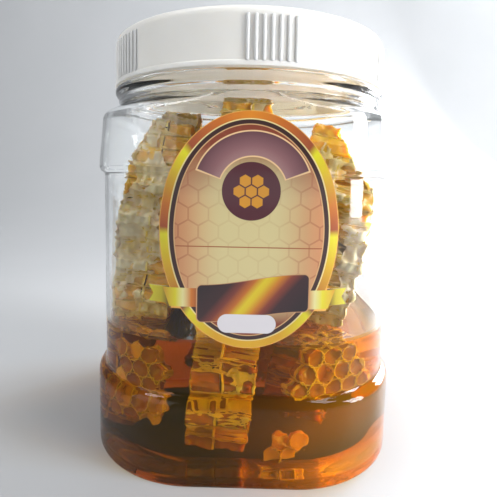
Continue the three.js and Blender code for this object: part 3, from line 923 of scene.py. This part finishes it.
chance = random.Random(7)
for seed, (name, (middle, turn, lean, filled, covered)) in enumerate(COMBS.items(), start=1):
    to_jar = Matrix.Translation(middle) @ Matrix.Rotation(radians(turn), 4, "Z")
    to_jar = to_jar @ Matrix.Rotation(radians(lean), 4, "Y")
    to_own = to_jar.inverted()
    corners = [to_own @ (vert.co / MM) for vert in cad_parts[name].data.vertices]
    low = Vector([min(corner[i] for corner in corners) for i in range(3)])
    high = Vector([max(corner[i] for corner in corners) for i in range(3)])
    middles = list(cell_middles(low, high))
    reach = max(-low.x, high.x) + 1

    block = plain_object(torn_block(name, to_own, seed, WAX_WORN), "torn block")
    wax_bm = combined(wax_cells(middles, reach, SHUT, seed), block, "INTERSECT")
    bpy.data.objects.remove(block)
    bmesh.ops.transform(wax_bm, matrix=to_jar, verts=wax_bm.verts)
    piece_from(wax_bm, f"{name}_cells", [drawn_wax], [name], smooth_under=50)

    film_bm = smeared_wax(torn_block(name, to_own, seed, SMEARS_WORN, 0.6), to_jar, seed, covered)
    bmesh.ops.transform(film_bm, matrix=to_jar, verts=film_bm.verts)
    piece_from(film_bm, f"{name}_smears", [film_wax], smooth_under=70)

    full = [spot for spot in middles if chance.random() < filled]
    if full:
        block = plain_object(torn_block(name, to_own, seed, HONEY_WORN), "torn block")
        honey_bm = combined(honey_in_cells(full, reach, seed), block, "INTERSECT")
        bpy.data.objects.remove(block)
        bmesh.ops.transform(honey_bm, matrix=to_jar, verts=honey_bm.verts)
        piece_from(honey_bm, f"{name}_cell_honey", [filling], smooth_under=50)

# Honey
# Clear liquid honey fills the lower third, drawn up a little where it meets the wall. It reaches just
# into the wall, so that no air shows between them.
honey_profile = rounded(
    inside_up_to(HONEY_LEVEL, WALL - 0.3)
    + [
        (PANEL - WALL + 0.3, HONEY_LEVEL + 1.3, 0),
        (PANEL - WALL - 0.6, HONEY_LEVEL + 0.5, 0.8),
        (PANEL - 6, HONEY_LEVEL, 3),
        (20, HONEY_LEVEL, 0),
    ]
)
# Honey: a glossy liquid, a little cloudy, that swallows blue at once and green slowly, so that it goes
# from yellow through amber to brown with depth. Only its top mirrors, because the wall that it wets
# bends light as it does.
honey, honey_output = new_material("clear amber honey")
top_look = {"Base Color": linear("#FFFBEF"), "Roughness": 0, "IOR": 1.49, "Transmission Weight": 1}
top_surface = node(honey, "BsdfPrincipled", top_look)
wetted = node(honey, "BsdfTransparent", {"Color": linear("#FFFFFF")})
upward = node(honey, "TexCoord").node.outputs["Normal"]
upward = node(honey, "SeparateXYZ", {"Vector": upward}).node.outputs["Z"]
on_top = node(honey, "Math", {0: upward, 1: 0.5}, operation="GREATER_THAN")
above_foot = node(honey, "TexCoord").node.outputs["Object"]
above_foot = node(honey, "SeparateXYZ", {"Vector": above_foot}).node.outputs["Z"]
above_foot = node(honey, "Math", {0: above_foot, 1: (HONEY_LEVEL - 2) * MM}, operation="GREATER_THAN")
on_top = node(honey, "Math", {0: on_top, 1: above_foot}, operation="MULTIPLY")
honey_surface = node(honey, "MixShader", {0: on_top, 1: wetted, 2: top_surface})
lets_lamps_through(honey, honey_output, honey_surface, linear("#FFF8E4"))
amber = node(honey, "VolumeAbsorption", {"Color": linear("#FFF000"), "Density": 190})
haze = node(honey, "VolumeScatter", {"Color": linear("#FFE9A0"), "Density": 16, "Anisotropy": 0.4})
honey.node_tree.links.new(node(honey, "AddShader", {0: amber, 1: haze}), honey_output.inputs["Volume"])
piece_from(jar_skin(honey_profile), "liquid_honey", [honey], smooth_under=60)

# Stage
# A pale floor that curves up behind the jar, with soft lamps: one at the right and two behind it, which
# make the honey glow, one above at each side, and a large one at the front left.
SWEEP = 400
stage_profile = rounded([(-900, -0.05, 0), (600, -0.05, SWEEP), (600, 1200, 0)], steps=24)
floor_bm = bmesh.new()
line = [floor_bm.verts.new((-1200, y, z)) for y, z in stage_profile]
edges = [floor_bm.edges.new(pair) for pair in zip(line, line[1:])]
grown = bmesh.ops.extrude_edge_only(floor_bm, edges=edges)["geom"]
far_side = [item for item in grown if isinstance(item, bmesh.types.BMVert)]
bmesh.ops.translate(floor_bm, verts=far_side, vec=(2400, 0, 0))
bmesh.ops.transform(floor_bm, matrix=Matrix.Scale(MM, 4), verts=floor_bm.verts)
bmesh.ops.recalc_face_normals(floor_bm, faces=floor_bm.faces)
floor_piece = plain_object(floor_bm, "floor")
floor_piece.data.shade_smooth()

floor_paint, floor_output = new_material("pale matt floor")
place = node(floor_paint, "TexCoord").node.outputs["Object"]
mottle = node(floor_paint, "TexNoise", {"Vector": place, "Scale": 9, "Detail": 4})
greys = {"Factor": mottle, "A": linear("#AEB0B3"), "B": linear("#A6A9AC")}
floor_look = {"Base Color": node(floor_paint, "Mix", greys, data_type="RGBA"), "Roughness": 0.6}
floor_surface = node(floor_paint, "BsdfPrincipled", floor_look)
floor_paint.node_tree.links.new(floor_surface, floor_output.inputs["Surface"])
floor_piece.data.materials.append(floor_paint)

world = bpy.data.worlds.new("pale surround")
world.use_nodes = True
world.node_tree.nodes["Background"].inputs["Color"].default_value = linear("#DADCDF")
world.node_tree.nodes["Background"].inputs["Strength"].default_value = 0.33
bpy.context.scene.world = world


def lamp(name, place, aim, size, power):
    """A soft white lamp at a place, in metres, that looks at a point."""
    light = bpy.data.lights.new(name, "AREA")
    light.shape = "RECTANGLE"
    light.size, light.size_y = size
    light.energy = power
    lamp_object = bpy.data.objects.new(name, light)
    lamp_object.location = place
    lamp_object.rotation_euler = (Vector(aim) - Vector(place)).to_track_quat("-Z", "Y").to_euler()
    bpy.context.scene.collection.objects.link(lamp_object)


lamp("window lamp", (0.75, -0.25, 0.24), (0, 0, 0.06), (0.25, 0.5), 10)
lamp("back lamp", (0.45, 0.6, 0.5), (0, 0, 0.06), (0.4, 0.4), 6)
lamp("low back lamp", (0.5, 0.32, 0.16), (0, 0, 0.03), (0.3, 0.2), 9)
lamp("right lamp", (0.32, -0.2, 0.7), (0, 0, 0.06), (0.14, 0.4), 1.5)
lamp("left lamp", (-0.28, -0.1, 0.7), (0, 0, 0.06), (0.14, 0.4), 1.5)
lamp("soft left lamp", (-0.8, -0.8, 0.6), (0, 0, 0.06), (1, 1), 5.5)
bpy.context.scene.view_settings.view_transform = "Standard"
